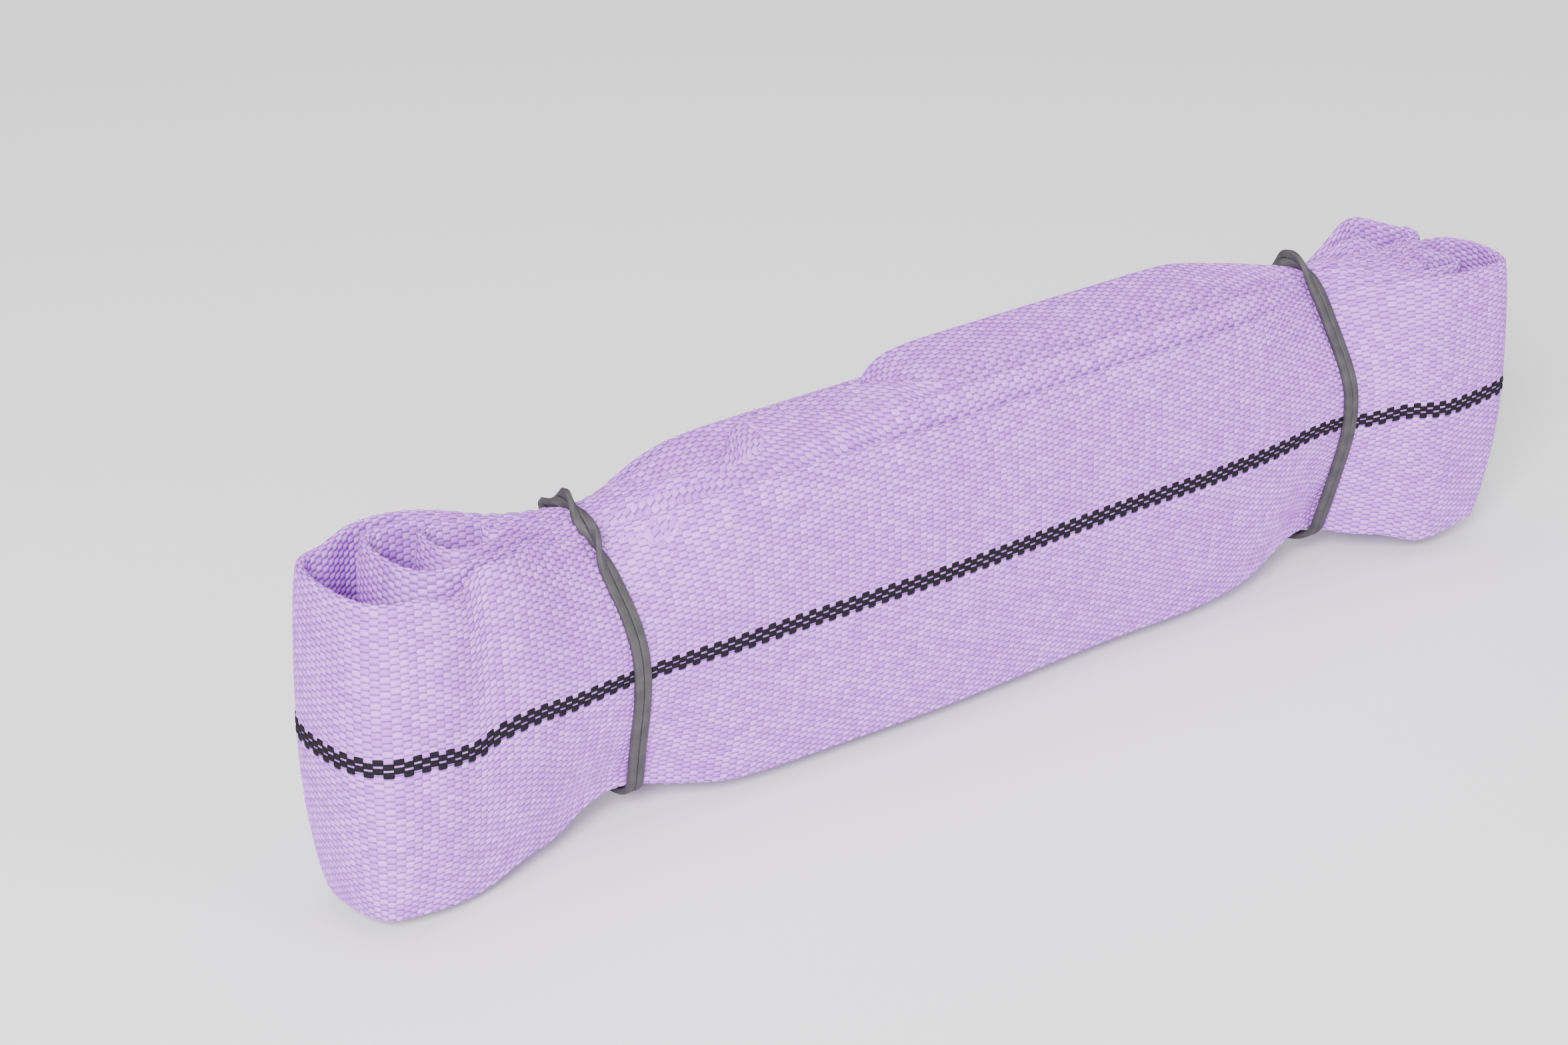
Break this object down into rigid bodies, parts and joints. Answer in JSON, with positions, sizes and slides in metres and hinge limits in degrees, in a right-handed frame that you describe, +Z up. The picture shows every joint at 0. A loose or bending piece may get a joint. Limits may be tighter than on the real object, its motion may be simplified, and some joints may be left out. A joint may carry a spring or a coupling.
{
  "type": "flat web sling",
  "caption": "Endless textile lifting sling, a flat woven tube around a yarn core, folded into a hank held by two rubber bands, with a label flap at the back.",
  "frame": {"origin": "on the resting plane, under the middle of the ply stack between the two rubber bands", "axes": "+X along the hank, +Y from the front ply to the labelled rear ply, +Z up across the web's width"},
  "size_m": [0.2549, 0.0347, 0.0589],
  "materials": {
    "cover_weave": "coarse plain weave of lilac polyester yarn",
    "core_yarn": "raw white polyester yarn bundle",
    "tracer_yarn": "black polyester yarn",
    "sewing_thread": "violet sewing thread",
    "label_fabric": "deep blue coated label fabric",
    "label_film": "clear protective film",
    "label_thread": "pale sewing thread",
    "band_rubber": "matte dark grey rubber with cut edges"
  },
  "bodies": {
    "hank": {"cover_sleeve": "cover_weave", "load_core": "core_yarn", "tracer_outer": "tracer_yarn", "tracer_inner": "tracer_yarn", "cover_joint_stitching": "sewing_thread", "label_tab": "label_fabric", "label_stitching": "label_thread", "rubber_band_left": "band_rubber", "rubber_band_right": "band_rubber"},
    "label_flap": {"label_leaf": "label_fabric", "label_film": "label_film"}
  },
  "joints": [
    {"name": "label_swing", "type": "hinge", "parent": "hank", "child": "label_flap", "pos_m": [-0.0081, 0.01402, 0], "axis": [0, 0, 1], "range_deg": [0, 110]}
  ]
}
